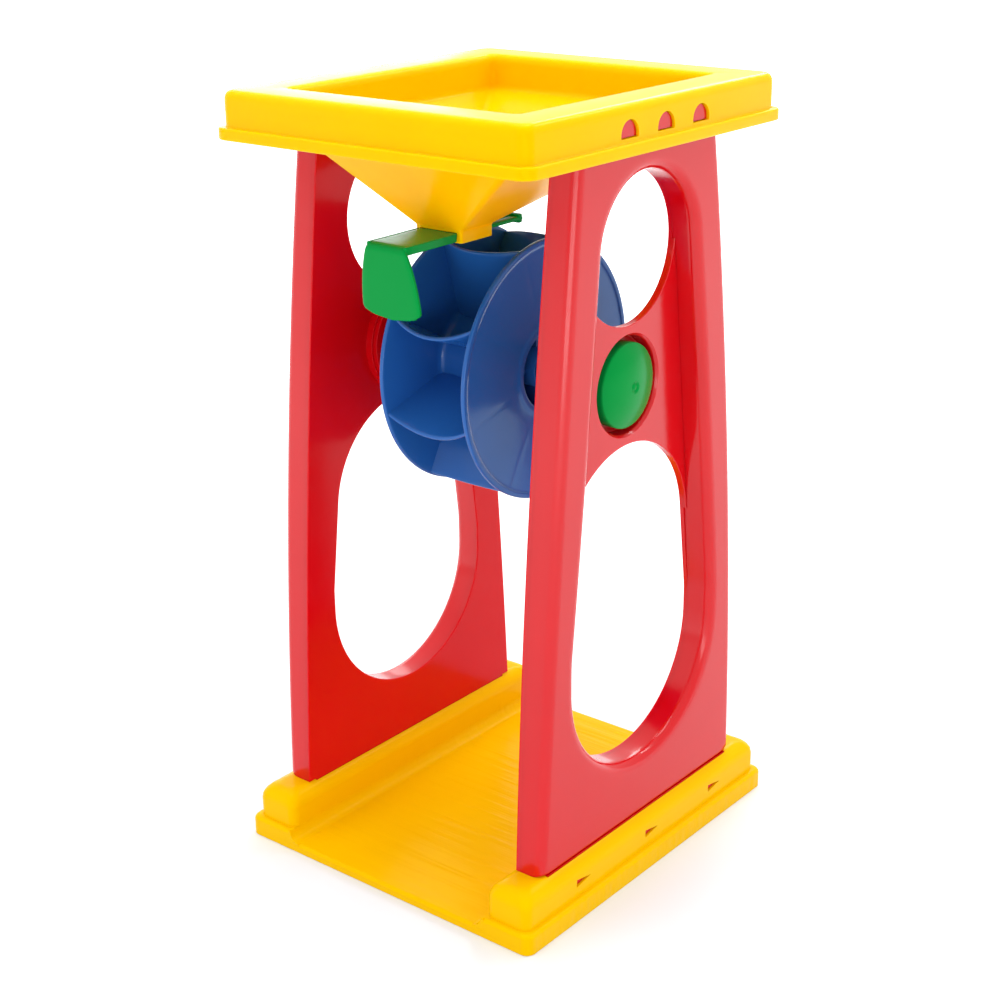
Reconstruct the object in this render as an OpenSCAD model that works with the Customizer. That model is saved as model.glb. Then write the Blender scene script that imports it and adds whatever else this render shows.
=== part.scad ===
// Sand wheel toy. Sand poured into the hopper falls past a sliding gate on to a bucket
// wheel, which turns on two axle pins between hollow side panels that stand in a base.
// X runs along the axle, Y from the gate handle at the front to the back, and Z up.
// The origin lies under the middle of the base. All lengths are in millimetres.

/* [Overall] */
// Height of the whole toy
total_h = 400; // [390:1:440]
// Width of the base, which is the width of the whole toy
total_w = 192.6; // [188:0.2:204]
// Wall of the thin mouldings
wall = 2.4; // [1.8:0.1:2.8]
// Gap between parts that are pushed together
fit = 0.2; // [0.1:0.05:0.3]

/* [Base] */
// Height of the floor between the rails
floor_h = 5; // [4:0.5:8]
// Height of the stepped edge beside the rails
edge_h = 10.9; // [9:0.1:14]
// Step from the base edge in to the rail
edge_step = 3.4; // [2:0.1:6]
// Height of the rails that hold the panels
rail_h = 29.4; // [26:0.2:36]
// Rail in front of a panel's inner face
rail_lip = 5; // [4:0.5:8]
// Rail outside a panel's outer face
rail_rim = 5.5; // [4:0.5:8]
// Rail past a panel's front and back edge
rail_end = 18.3; // [14:0.1:26]
// Radius of the rail's rounded shoulders
rail_r = 8; // [4:0.5:9]
// Radius of the stepped edge's rounded top
edge_r = 2.4; // [1:0.2:3]
// Radius of the hollow between a rail and the floor
fillet_r = 6; // [3:0.5:7]
// Radius of the floor's rounded front and back edges
floor_r = 2; // [1:0.2:3]
// Radius of the base corners in plan
base_r = 5; // [3:0.5:8]

/* [Side panels] */
// Thickness of a panel at its foot
panel_t = 16; // [13:0.5:20]
// Extra thickness where a panel swells at mid height
panel_swell = 1.8; // [0:0.1:3]
// Width of a panel where it meets the base
foot_w = 172; // [160:1:186]
// Width of a panel where it meets the hopper
head_w = 113; // [106:1:126]
// Outward bow of a panel's front and back edges
edge_bow = 3.6; // [0:0.2:6]
// Radius of a panel's outer front and back edges
panel_r = 5; // [4:0.5:8]
// Thickness of the cover that closes a panel on the wheel side
cover_t = 2.4; // [1.8:0.1:3]
// Thickness of the bridge that carries the axle, cover included
bridge_t = 4.1; // [3.4:0.1:6]
// Radius of the round hole above the axle
upper_r = 37.8; // [32:0.2:40]
// Radius of the lower hole's round end
lower_r = 59.6; // [52:0.2:61]
// Straight part of the lower hole's side
lower_rise = 12; // [6:0.5:24]
// Radius of the arch over the lower hole
arch_r = 54; // [48:0.5:57]
// Band of panel under the lower hole
band_h = 32.8; // [26:0.2:40]
// Bridge left above and below the axle recess
bridge_rim = 5.6; // [4:0.2:8]
// Radius of the rounded edge of the big opening
opening_r = 5.5; // [3:0.1:6]

/* [Wheel] */
// Radius of the wheel
wheel_r = 66.4; // [60:0.2:70]
// Width of the wheel across its discs
wheel_w = 54.4; // [46:0.2:64]
// Gap between the spout and the top of the wheel
wheel_gap = 4.5; // [3:0.5:12]
// Number of buckets
vane_count = 8; // [6:1:10]
// Thickness of the vanes between the buckets
vane_t = 2.2; // [1.6:0.1:3]
// How far a vane's rim dips in the middle
vane_sag = 7.3; // [0:0.1:9]
// Thickness of the discs
disc_t = 2.4; // [1.8:0.1:3.2]
// Outer radius of the hub drum
drum_r = 22.5; // [20:0.5:28]
// Height of the bead round a disc
bead_h = 0.8; // [0.4:0.1:1.6]
// Width of the bead round a disc
bead_w = 2.6; // [1.6:0.1:4]

/* [Axle pins] */
// Radius of an axle pin
pin_r = 7; // [5:0.5:8]
// Running gap between a pin and the wheel's sleeve
run_gap = 0.1; // [0.05:0.01:0.1]
// Gap between a pin and the tube that grips it
press_gap = 0.04; // [0.02:0.01:0.08]
// Wall of the sleeve and of the tube that hold the pin
sleeve_t = 3.4; // [2.4:0.2:4]
// End play of the wheel on each side
end_play = 1; // [0.5:0.1:2]
// Length of pin inside the wheel
pin_reach = 17; // [10:1:22]
// Radius of a pin's round head
cap_r = 21.5; // [18:0.5:22]
// Height of the dome on the head
cap_dome = 4.6; // [2:0.2:6]
// Height of the straight side of the head
cap_side = 8; // [5:0.2:10]
// Gap round the head in its recess
cap_gap = 3.1; // [2:0.1:4.5]

/* [Hopper] */
// Depth of the hopper, front to back
hopper_d = 199.6; // [184:0.2:220]
// Hopper wall outside a panel's outer face
hopper_rim = 5.2; // [4.6:0.2:8]
// Height of the hopper from the spout to the rim
hopper_h = 69.1; // [64:0.1:78]
// Height of the hopper's outer skirt
skirt_h = 23.2; // [20:0.2:28]
// Height of the bead at the foot of the skirt
skirt_bead_h = 5.8; // [4:0.2:7]
// How far that bead stands out
skirt_bead = 3.1; // [2:0.1:5]
// Inside depth of the tub, front to back
tub_d = 152; // [136:1:166]
// Depth from the rim to the start of the funnel
tub_h = 19; // [16:0.5:24]
// Radius of the rim's rounded edges
rim_r = 5; // [3:0.2:6]
// Radius of the hopper corners in plan
hopper_r = 6; // [4:0.5:10]
// Width of the spout, side to side
spout_w = 28.8; // [26:0.2:36]
// Depth of the spout, front to back
spout_d = 23.6; // [20:0.2:30]
// Height of the spout's straight part
spout_h = 6.2; // [5.6:0.1:9]
// Distance from the axle forward to the spout
spout_y = 38.8; // [30:0.2:44]

/* [Gate] */
// Thickness of the gate plate
gate_t = 2.4; // [1.8:0.1:2.6]
// Width of the gate plate
gate_w = 22.8; // [19:0.2:23]
// Length of the plate in front of the spout
gate_front = 38.4; // [32:0.2:44]
// Free height of the gate plate in its slot
gate_gap = 0.3; // [0.2:0.05:0.4]
// Width of the lips along both sides of the plate's front
lip_t = 1.8; // [1.2:0.1:2.4]
// Height of the lips
lip_h = 4; // [3:0.2:5]
// Thickness of the stop at the back of the plate
stop_t = 3; // [2:0.2:4]
// Height of that stop, half of it above the plate's middle
stop_h = 4.4; // [3.4:0.1:5]
// Lean of the handle's lower end towards the wheel, in degrees
handle_lean = 6; // [0:0.5:12]
// Length of the handle that hangs down
handle_h = 32.5; // [26:0.5:36]
// Width of the handle at its lower end
handle_w = 36; // [30:0.5:40]

/* [Snaps] */
// Radius of the half-moon snap windows in the skirt
window_r = 6.9; // [5:0.1:8]
// Height of a window's centre above its flat side
window_rise = 1.5; // [0:0.1:3]
// Height of the windows above the bead
window_lift = 1.9; // [0.8:0.1:3]
// Shift of the windows towards the back
window_shift = 3.4; // [0:0.1:6]
// Spacing of the snap windows
window_pitch = 28.8; // [24:0.2:34]
// Length of the barb slots in the rails
slot_w = 11.5; // [8:0.5:16]
// Height of the barb slots at their wide end
slot_h = 4.4; // [3.6:0.2:5]
// Height of the middle of the barb slots above the ground
slot_z = 18.5; // [15:0.5:19]
// Shift of the barb slots towards the back
slot_shift = 1.9; // [0:0.1:4]
// Spacing of the barb slots
slot_pitch = 60; // [50:0.5:66]

/* [Hidden] */
$fn = 96;
// Overrun of a cut past the surface that it opens
over = 1;
// Points in a rounded corner, in a rounded edge and in a large arc
corner_steps = 6;
edge_steps = 5;
arc_steps = 16;
side_steps = 12;
// A quarter of a full turn, in degrees
quarter = 90;

// Levels above the floor
skirt_z = total_h - skirt_h;
tub_z = total_h - tub_h;
spout_z = total_h - hopper_h;
spout_top_z = spout_z + spout_h;
axle_z = spout_z - wheel_gap - wheel_r;
panel_top_z = total_h - wall - fit;
tongue_z = floor_h + fit;

// Places across the toy
base_x = total_w / 2;
rail_out = base_x - edge_step;
panel_out = rail_out - rail_rim;
panel_in = panel_out - panel_t;
shell_in = panel_in + cover_t;
bridge_out = panel_in + bridge_t;
rail_in = panel_in - rail_lip;
rail_half = (rail_out - rail_in) / 2;
rail_y = foot_w / 2 + rail_end;
base_y = rail_y + edge_step;
skirt_x = panel_out + hopper_rim;
skirt_y = hopper_d / 2;
tub_x = panel_in - fit;
tub_y = tub_d / 2 + wall;
tongue_y = foot_w / 2 - rail_lip - fit;
window_z = skirt_z + skirt_bead_h + window_lift;

// Axle recess and holes in the panels
recess_r = cap_r + cap_gap;
boss_r = recess_r + wall;
recess_x = bridge_out - cap_side - fit;
boss_x = recess_x - wall;
tube_r = pin_r + sleeve_t;
sleeve_r = pin_r + run_gap;
upper_z = axle_z + recess_r + bridge_rim + upper_r;
lower_z = rail_h + band_h + lower_r;
arch_z = axle_z - recess_r - bridge_rim - arch_r;

// Gate places: the plate lies in the slot, its lips stop it in front of the spout
gate_z = spout_z + wall;
spout_front = -spout_y - spout_d / 2;
spout_back = -spout_y + spout_d / 2;
gate_nose = spout_front - gate_front;
gate_stop_y = spout_back + spout_d + stop_t;
port_w = gate_w - 3 * wall;
port_d = spout_d - 2 * wall;

// Shares of the sizes that they follow, chosen by hand
port_corner_share = 0.12;
vane_foot_share = 0.15;
vane_curve_share = 1.4;
handle_waist_share = 0.36;
handle_waist_w_share = 0.72;
handle_curve_share = 0.08;

// Half width of a panel at height z, and how far its outer face has swelled there
function rise(z) = (z - rail_h) / (skirt_z - rail_h);
function bulge(z) = max(0, 4 * rise(z) * (1 - rise(z)));
function panel_y(z) = foot_w / 2 + (head_w - foot_w) / 2 * rise(z) + edge_bow * bulge(z);
function panel_x(z) = panel_out + panel_swell * bulge(z);

// A ring of points round a rectangle with rounded corners, at height z
corner_signs = [[1, 1], [-1, 1], [-1, -1], [1, -1]];
function round_rect(hx, hy, r, z, y0 = 0) = [
    for (c = [0 : 3])
    for (i = [0 : corner_steps])
    let (s = corner_signs[c], a = (c + i / corner_steps) * quarter)
    [s[0] * (hx - r) + r * cos(a), y0 + s[1] * (hy - r) + r * sin(a), z]];

// The outline of the big panel opening in the YZ plane, grown by g all round
tangent_a = asin((lower_r - upper_r) / (upper_z - lower_z - lower_rise));
function right_side(g) = concat(
    [for (i = [0 : arc_steps]) let (a = -90 + 90 * i / arc_steps)
        [(lower_r + g) * cos(a), lower_z + (lower_r + g) * sin(a)]],
    [for (i = [0 : 2]) let (a = tangent_a * i / 2)
        [(lower_r + g) * cos(a), lower_z + lower_rise + (lower_r + g) * sin(a)]],
    [for (i = [0 : arc_steps]) let (a = tangent_a + (90 - tangent_a) * i / arc_steps)
        [(upper_r + g) * cos(a), upper_z + (upper_r + g) * sin(a)]]);
function opening_outline(g) = let (p = right_side(g), n = len(p))
    concat(p, [for (i = [n - 2 : -1 : 1]) [-p[i][0], p[i][1]]]);

// Faces of a skin through m rings of n points, which turn left seen from the last ring
function skin_faces(n, m) = concat(
    [[for (i = [0 : n - 1]) i]],
    [for (k = [0 : m - 2]) for (i = [0 : n - 1]) let (j = (i + 1) % n)
        [k * n + i, (k + 1) * n + i, (k + 1) * n + j]],
    [for (k = [0 : m - 2]) for (i = [0 : n - 1]) let (j = (i + 1) % n)
        [k * n + i, (k + 1) * n + j, k * n + j]],
    [[for (i = [n - 1 : -1 : 0]) (m - 1) * n + i]]);

module skin(rings) {
    polyhedron(points = [for (r = rings) for (p = r) p],
        faces = skin_faces(len(rings[0]), len(rings)), convexity = 8);
}

// A block with rounded corners whose top edge is rounded with radius r
module soft_block(hx, hy, corner, z0, z1, r) {
    skin(concat([round_rect(hx, hy, corner, z0)],
        [for (i = [0 : edge_steps]) let (a = 90 * i / edge_steps)
            round_rect(hx - r * (1 - cos(a)), hy - r * (1 - cos(a)),
                corner, z1 - r + r * sin(a))]));
}

// A flat outline in the YZ plane, drawn out from x0 to x1
module slab_x(x0, x1) {
    translate([x0, 0, 0]) rotate([90, 0, 90]) linear_extrude(x1 - x0) children();
}

// A round bar along X about the axle
module bar_x(x0, x1, r) {
    translate([x0, 0, axle_z]) rotate([0, 90, 0]) cylinder(r = r, h = x1 - x0);
}

module box(x0, x1, y0, y1, z0, z1) {
    translate([x0, y0, z0]) cube([x1 - x0, y1 - y0, z1 - z0]);
}

// A hollow fillet of radius r round the foot of a block that stands on a floor at z0
module flare(hx, hy, corner, z0, r) {
    skin(concat([round_rect(hx + r, hy + r, corner + r, z0 - wall / 2)],
        [for (i = [0 : edge_steps]) let (a = 90 * i / edge_steps, g = r * (1 - sin(a)))
            round_rect(hx + g, hy + g, corner + g, z0 + r * (1 - cos(a)))]));
}

// Base: a floor between two hollow rails, open underneath and stiffened by ribs
module rail_outside() {
    translate([rail_in + rail_half, 0, 0])
        soft_block(rail_half, rail_y, base_r, 0, rail_h, rail_r);
}

module rail_inside() {
    translate([rail_in + rail_half, 0, 0])
        soft_block(rail_half - wall, rail_y - wall, base_r - wall / 2, -over, rail_h - wall,
            rail_r - wall);
}

module rail_ribs() {
    for (y = [-rail_y + rail_end / 2, -slot_pitch / 2, slot_pitch / 2, rail_y - rail_end / 2])
        box(rail_in, rail_out, y - wall / 2, y + wall / 2, 0, rail_h - rail_r);
}

module foot_flares() {
    intersection() {
        union() {
            translate([rail_in + rail_half, 0, 0])
                flare(rail_half, rail_y, base_r, floor_h, fillet_r);
            translate([rail_in + rail_half, 0, 0])
                flare(rail_half, base_y + 2 * base_r, base_r, floor_h, min(fillet_r, edge_h - floor_h));
        }
        box(rail_in - fillet_r, rail_in + wall / 2, -base_y, base_y, floor_h - wall, edge_h);
    }
}

module stepped_edge() {
    difference() {
        soft_block(base_x, base_y, base_r, 0, edge_h, edge_r);
        box(-base_x - over, rail_in, -base_y - over, base_y + over, -over, edge_h + over);
        translate([rail_in + rail_half, 0, -over]) linear_extrude(edge_h + 2 * over)
            polygon([for (p = round_rect(rail_half - wall / 2, rail_y - wall / 2,
                base_r - wall / 2, 0)) [p[0], p[1]]]);
    }
}

module barb_outline(side_gap, tip_gap) {
    translate([slot_shift, slot_z]) polygon([
        [-slot_w / 2 + side_gap, -slot_h / 2 + 2 * side_gap],
        [slot_w / 2 - tip_gap, 0],
        [-slot_w / 2 + side_gap, slot_h / 2 - 2 * side_gap]]);
}

module barb_slots() {
    for (i = [-1 : 1]) translate([0, i * slot_pitch, 0])
        slab_x(panel_out, rail_out + over) barb_outline(0, 0);
}

module half_base() {
    difference() {
        union() {
            rail_outside();
            foot_flares();
        }
        difference() {
            rail_inside();
            rail_ribs();
        }
        box(panel_in - fit, panel_out + fit, -tongue_y - fit, tongue_y + fit,
            floor_h, rail_h + over);
        barb_slots();
    }
    stepped_edge();
}

function floor_corner(side) = [for (i = [0 : edge_steps]) let (a = 90 * i / edge_steps)
    [side * (base_y - floor_r * (1 - cos(a))), floor_h - floor_r * (1 - sin(a))]];

module floor_outline() {
    polygon(concat([[-base_y, 0], [base_y, 0]], floor_corner(1),
        [for (i = [edge_steps : -1 : 0]) floor_corner(-1)[i]]));
}

module floor_plate() {
    difference() {
        slab_x(-rail_in, rail_in) floor_outline();
        difference() {
            box(-rail_in, rail_in, -base_y + wall, base_y - wall, -over, floor_h - wall);
            for (i = [-2 : 2]) {
                box(-rail_in, rail_in, i * rail_y / 3 - wall / 2, i * rail_y / 3 + wall / 2,
                    0, floor_h);
                box(i * rail_in / 3 - wall / 2, i * rail_in / 3 + wall / 2, -base_y, base_y,
                    0, floor_h);
            }
        }
    }
}

module base() {
    color("#f8be00") {
        floor_plate();
        half_base();
        mirror([1, 0, 0]) half_base();
    }
}

// Side panel: an outer shell with one tall opening, closed on the wheel side by a cover
function panel_ring(z, inset, x_in) = let (
    y = panel_y(z) - inset, x = panel_x(z) - inset, r = panel_r - inset) concat(
    [[x_in, -y, z]],
    [for (i = [0 : corner_steps]) let (a = -90 + 90 * i / corner_steps)
        [x - r + r * cos(a), -y + r + r * sin(a), z]],
    [for (i = [0 : corner_steps]) let (a = 90 * i / corner_steps)
        [x - r + r * cos(a), y - r + r * sin(a), z]],
    [[x_in, y, z]]);

module panel_body(z0, z1, inset, x_in) {
    skin([for (i = [0 : side_steps]) panel_ring(z0 + (z1 - z0) * i / side_steps, inset, x_in)]);
}

// The cutter for the big opening, which flares out to round the opening's outer edge
function opening_ring(g, depth) = [for (p = opening_outline(g))
    [panel_x(p[1]) + depth, p[0], p[1]]];
module opening_cut() {
    skin(concat(
        [[for (p = opening_outline(0)) [panel_in - over, p[0], p[1]]]],
        [for (i = [0 : edge_steps]) let (a = 90 * i / edge_steps)
            opening_ring(opening_r * (1 - cos(a)), opening_r * (sin(a) - 1))],
        [[for (p = opening_outline(opening_r)) [panel_out + panel_swell + over, p[0], p[1]]]]));
}

// The same shape grown by a wall: it stays solid round the opening inside the hollow shell
module opening_core() {
    r = opening_r - wall;
    skin(concat(
        [[for (p = opening_outline(wall)) [panel_in - over, p[0], p[1]]]],
        [for (i = [0 : edge_steps]) let (a = quarter * i / edge_steps)
            opening_ring(wall + r * (1 - cos(a)), r * (sin(a) - 1) - wall)],
        [[for (p = opening_outline(opening_r)) [panel_out + panel_swell + over, p[0], p[1]]]]));
}

module barb() {
    slab_x(panel_out - over, rail_out - fit) barb_outline(fit, 5 * fit);
}

module window_nub(r, x0, x1) {
    z1 = window_z + window_rise;
    intersection() {
        translate([x0, window_shift, z1]) rotate([0, 90, 0]) cylinder(r = r, h = x1 - x0);
        box(x0 - over, x1 + over, window_shift - r, window_shift + r, window_z + window_r - r,
            z1 + r);
    }
}

module right_shell() {
    difference() {
        union() {
            panel_body(rail_h, panel_top_z, 0, shell_in);
            box(shell_in, panel_out, -tongue_y, tongue_y, tongue_z, rail_h);
        }
        opening_cut();
        difference() {
            union() {
                panel_body(rail_h + wall, panel_top_z - wall, wall, shell_in - over);
                box(shell_in - over, panel_out - wall, -tongue_y + wall, tongue_y - wall,
                    tongue_z + wall, rail_h + over);
            }
            opening_core();
            box(shell_in - 2 * over, panel_out, -foot_w / 2, foot_w / 2,
                rail_h - wall / 2, rail_h + wall);
        }
    }
    for (i = [-1 : 1]) translate([0, i * slot_pitch, 0]) barb();
    for (i = [-1 : 1]) translate([0, i * window_pitch, 0])
        window_nub(window_r - 2 * fit, panel_out - wall, skirt_x - fit);
}

// Cover: a flat plate with the two holes, the bridge between them and the axle boss
module cover_outline() {
    polygon(concat(
        [[-tongue_y, tongue_z], [tongue_y, tongue_z], [tongue_y, rail_h]],
        [for (i = [0 : side_steps]) let (z = rail_h + (panel_top_z - rail_h) * i / side_steps)
            [panel_y(z), z]],
        [for (i = [side_steps : -1 : 0]) let (z = rail_h + (panel_top_z - rail_h) * i / side_steps)
            [-panel_y(z), z]],
        [[-tongue_y, rail_h]]));
}

module lower_hole() {
    intersection() {
        polygon(opening_outline(0));
        hull() {
            translate([0, arch_z]) circle(r = arch_r);
            translate([-lower_r, 0]) square([2 * lower_r, lower_z + lower_rise]);
        }
    }
}

module bridge_outline() {
    intersection() {
        polygon(opening_outline(-fit));
        translate([-lower_r, arch_z]) square([2 * lower_r, upper_z - arch_z]);
    }
}

module right_cover() {
    difference() {
        union() {
            slab_x(panel_in, shell_in) cover_outline();
            slab_x(panel_in, bridge_out) bridge_outline();
            bar_x(boss_x, shell_in, boss_r);
            bar_x(boss_x + wall, panel_in, boss_r + wall / 2);
            bar_x(wheel_w / 2 + end_play, shell_in, tube_r);
        }
        slab_x(panel_in - over, bridge_out + over) lower_hole();
        slab_x(panel_in - over, bridge_out + over) translate([0, upper_z]) circle(r = upper_r);
        bar_x(recess_x, bridge_out + over, recess_r);
        bar_x(wheel_w / 2, bridge_out + over, pin_r + press_gap);
        translate([bridge_out - bridge_t / 3, 0, axle_z]) rotate([0, 90, 0])
            cylinder(r1 = recess_r, r2 = recess_r + 2 * bridge_t / 3, h = 2 * bridge_t / 3);
    }
}

// Axle pin: a domed head that sits in the panel's recess, on a stem the wheel turns on
module right_pin() {
    dome_r = (cap_r * cap_r + cap_dome * cap_dome) / (2 * cap_dome);
    head_x = recess_x + cap_side;
    difference() {
        union() {
            bar_x(recess_x, head_x, cap_r);
            intersection() {
                translate([head_x + cap_dome - dome_r, 0, axle_z]) rotate([0, 90, 0]) sphere(r = dome_r);
                bar_x(head_x, head_x + cap_dome + over, cap_r);
            }
        }
        bar_x(recess_x - over, head_x - wall / 2, cap_r - wall);
        bar_x(head_x + cap_dome - wall / 4, head_x + cap_dome + over, wall * 3 / 4);
    }
    bar_x(wheel_w / 2 - pin_reach, head_x, pin_r);
}

// Wheel half: one disc, half of the hub drum and sleeve, its spokes and half of each vane
disc_in = wheel_w / 2 - disc_t;
tip_r = wheel_r - bead_h;
// Turn that brings the middle of a vane's rim back to its place
sag_a = asin(vane_sag / tip_r);
vane_rows = 6;
vane_cols = 5;

function vane_dip(x, r) = let (u = (r - drum_r) / (tip_r - drum_r),
    grow = vane_foot_share + (1 - vane_foot_share) * pow(max(0, u), vane_curve_share))
    vane_sag * grow * (pow(x / disc_in, 2) - 1);
function vane_point(i, k, side) = let (
    x = disc_in * i / vane_cols,
    r = drum_r - wall / 2 + (tip_r - drum_r + wall / 2) * k / vane_rows)
    [x + (i == vane_cols ? disc_t / 2 : 0), vane_dip(x, r) + side * vane_t / 2, r];
function vane_face(n, m) = concat(
    [for (k = [0 : m - 1]) for (i = [0 : n - 1]) let (a = k * (n + 1) + i, b = a + n + 1)
        [a, a + 1, b + 1]],
    [for (k = [0 : m - 1]) for (i = [0 : n - 1]) let (a = k * (n + 1) + i, b = a + n + 1)
        [a, b + 1, b]]);

// A thick sheet between two grids of points, closed round its four edges
module sheet(front, back, n, m) {
    c = (n + 1) * (m + 1);
    edge = concat([for (i = [0 : n - 1]) i], [for (k = [0 : m - 1]) k * (n + 1) + n],
        [for (i = [n : -1 : 1]) m * (n + 1) + i], [for (k = [m : -1 : 1]) k * (n + 1)]);
    e = len(edge);
    polyhedron(points = concat(front, back), convexity = 6, faces = concat(
        vane_face(n, m),
        [for (f = vane_face(n, m)) [f[2] + c, f[1] + c, f[0] + c]],
        [for (i = [0 : e - 1]) let (j = (i + 1) % e) [edge[i], edge[i] + c, edge[j] + c]],
        [for (i = [0 : e - 1]) let (j = (i + 1) % e) [edge[i], edge[j] + c, edge[j]]]));
}

module half_vane() {
    sheet([for (k = [0 : vane_rows]) for (i = [0 : vane_cols]) vane_point(i, k, 1)],
        [for (k = [0 : vane_rows]) for (i = [0 : vane_cols]) vane_point(i, k, -1)],
        vane_cols, vane_rows);
}

// Turned profile of a wheel half, as points of radius and distance from the middle
module wheel_profile() {
    x1 = wheel_w / 2;
    translate([drum_r - wall, 0]) square([wall, x1 - disc_t / 2]);
    translate([sleeve_r, 0]) square([tube_r - sleeve_r, x1 - disc_t / 2]);
    polygon([[drum_r - wall, disc_in], [wheel_r, disc_in], [wheel_r, x1],
        [wheel_r - bead_w, x1], [wheel_r - bead_w - bead_h, x1 - bead_h],
        [drum_r + bead_h, x1 - bead_h], [drum_r, x1], [drum_r - wall, x1]]);
}

module right_wheel() {
    translate([0, 0, axle_z]) {
        rotate([0, 90, 0]) rotate_extrude() wheel_profile();
        for (i = [0 : vane_count - 1]) rotate([90 - 180 / vane_count - sag_a + i * 360 / vane_count, 0, 0])
            half_vane();
        for (i = [0 : vane_count / 2 - 1]) rotate([i * 720 / vane_count, 0, 0])
            box(0, wheel_w / 2 - 3 * disc_t, -wall / 2, wall / 2, tube_r - wall / 2,
                drum_r - wall / 2);
    }
}

// Hopper: a square tub with a hollow rim that the panels push into, on a sloping funnel
module prism(hx, y0, y1, z0, z1) {
    box(-hx, hx, y0, y1, z0, z1);
}

module funnel(inset, lift) {
    top = round_rect(tub_x - inset, tub_y - inset, hopper_r - inset, tub_z + lift);
    low = round_rect(spout_w / 2 - inset, spout_d / 2 - inset, wall, spout_top_z + lift, -spout_y);
    skin([low, top]);
}

module hopper_skirt(inset, z1) {
    soft_block(skirt_x - inset, skirt_y - inset, hopper_r, skirt_z - (inset > 0 ? over : 0), z1,
        rim_r - inset);
}

module tub_mouth() {
    skin(concat(
        [round_rect(tub_x - wall, tub_y - wall, hopper_r - wall, tub_z)],
        [for (i = [0 : edge_steps]) let (a = 90 * i / edge_steps, g = rim_r * (1 - cos(a)))
            round_rect(tub_x - wall + g, tub_y - wall + g, hopper_r - wall + g,
                total_h - rim_r + rim_r * sin(a))],
        [round_rect(tub_x - wall + rim_r, tub_y - wall + rim_r, hopper_r - wall + rim_r,
            total_h + over)]));
}

module tub_outside() {
    skin([round_rect(tub_x, tub_y, hopper_r, tub_z), round_rect(tub_x, tub_y, hopper_r, total_h)]);
}

module socket_ribs() {
    for (y = [-1, 1]) translate([0, y * (panel_y(skirt_z) + wall / 2 + 3 * fit), 0])
        box(tub_x - wall / 2, skirt_x - wall / 2, -wall / 2, wall / 2, skirt_z + fit, total_h - wall);
}

module hopper() {
    color("#ffcd00") {
        difference() {
            union() {
                hopper_skirt(0, total_h);
                linear_extrude_at(skirt_z, skirt_bead_h)
                    polygon([for (p = round_rect(skirt_x + skirt_bead, skirt_y + skirt_bead,
                        hopper_r + skirt_bead / 2, 0)) [p[0], p[1]]]);
                funnel(0, 0);
                prism(spout_w / 2, spout_front, spout_back, spout_z, spout_top_z + fit);
            }
            difference() {
                hopper_skirt(wall, total_h - wall);
                tub_outside();
                funnel(0, 0);
                prism(spout_w / 2, spout_front, spout_back, spout_z, spout_top_z + fit);
                socket_ribs();
                mirror([1, 0, 0]) socket_ribs();
            }
            tub_mouth();
            skin([round_rect(tub_x - wall, tub_y - wall, hopper_r - wall, tub_z + wall / 2),
                round_rect(tub_x - wall, tub_y - wall, hopper_r - wall, total_h - rim_r)]);
            funnel(wall, wall / 2);
            prism(spout_w / 2 - wall, spout_front + wall, spout_back - wall,
                spout_z - over, spout_top_z + wall);
            prism(gate_w / 2 + fit, spout_front - over, spout_back + over,
                gate_z - gate_gap / 2, gate_z + gate_t + gate_gap / 2);
            for (s = [0, 1]) mirror([s, 0, 0]) for (i = [-1 : 1]) translate([0, i * window_pitch, 0])
                window_nub(window_r, skirt_x - 2 * wall, skirt_x + over);
        }
    }
}

module linear_extrude_at(z, h) {
    translate([0, 0, z]) linear_extrude(h) children();
}

// Gate: a plate through the spout with a port behind it, lips in front and a hanging handle
function handle_half(u) = let (top = gate_w / 2 + lip_t / 2)
    top + (handle_w / 2 - top) * pow(sin(90 * min(1, u)), handle_waist_w_share);

module handle_outline() {
    steps = 8;
    side = [for (i = [0 : steps]) let (u = i / steps) [handle_half(u), -handle_h * u]];
    dip = handle_h * handle_curve_share;
    foot = [for (i = [1 : steps - 1]) let (u = 1 - 2 * i / steps)
        [handle_w / 2 * u, -handle_h - dip * (1 - u * u)]];
    polygon(concat(side, foot, [for (i = [steps : -1 : 0]) [-side[i][0], side[i][1]]]));
}

module gate_slide() {
    color("#00a64c") {
        difference() {
            prism(gate_w / 2, gate_nose, gate_stop_y, gate_z, gate_z + gate_t);
            linear_extrude_at(gate_z - over, gate_t + 2 * over)
                polygon([for (p = round_rect(port_w / 2, port_d / 2, port_w * port_corner_share, 0,
                    spout_back + spout_d / 2)) [p[0], p[1]]]);
        }
        for (s = [0, 1]) mirror([s, 0, 0])
            box(gate_w / 2 - lip_t / 2, gate_w / 2 + lip_t / 2, gate_nose, spout_front - fit - wall / 4,
                gate_z + gate_t - lip_h, gate_z + gate_t);
        prism(gate_w / 2, gate_stop_y - stop_t, gate_stop_y, gate_z + gate_t / 2 - stop_h / 2,
            gate_z + gate_t / 2 + stop_h / 2);
        translate([0, gate_nose, gate_z + gate_t]) rotate([90 + handle_lean, 0, 0])
            translate([0, 0, -gate_t]) linear_extrude(gate_t) handle_outline();
    }
}

module left_panel_shell() {
    color("#e3202b") mirror([1, 0, 0]) right_shell();
}

module right_panel_shell() {
    color("#e3202b") right_shell();
}

module left_panel_cover() {
    color("#d81420") mirror([1, 0, 0]) right_cover();
}

module right_panel_cover() {
    color("#d81420") right_cover();
}

module left_axle_pin() {
    color("#00a64c") mirror([1, 0, 0]) right_pin();
}

module right_axle_pin() {
    color("#00a64c") right_pin();
}

module left_wheel_half() {
    color("#1263b4") mirror([1, 0, 0]) right_wheel();
}

module right_wheel_half() {
    color("#1263b4") right_wheel();
}

base();
left_panel_shell();
left_panel_cover();
right_panel_shell();
right_panel_cover();
hopper();
gate_slide();
left_wheel_half();
right_wheel_half();
left_axle_pin();
right_axle_pin();
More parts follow.
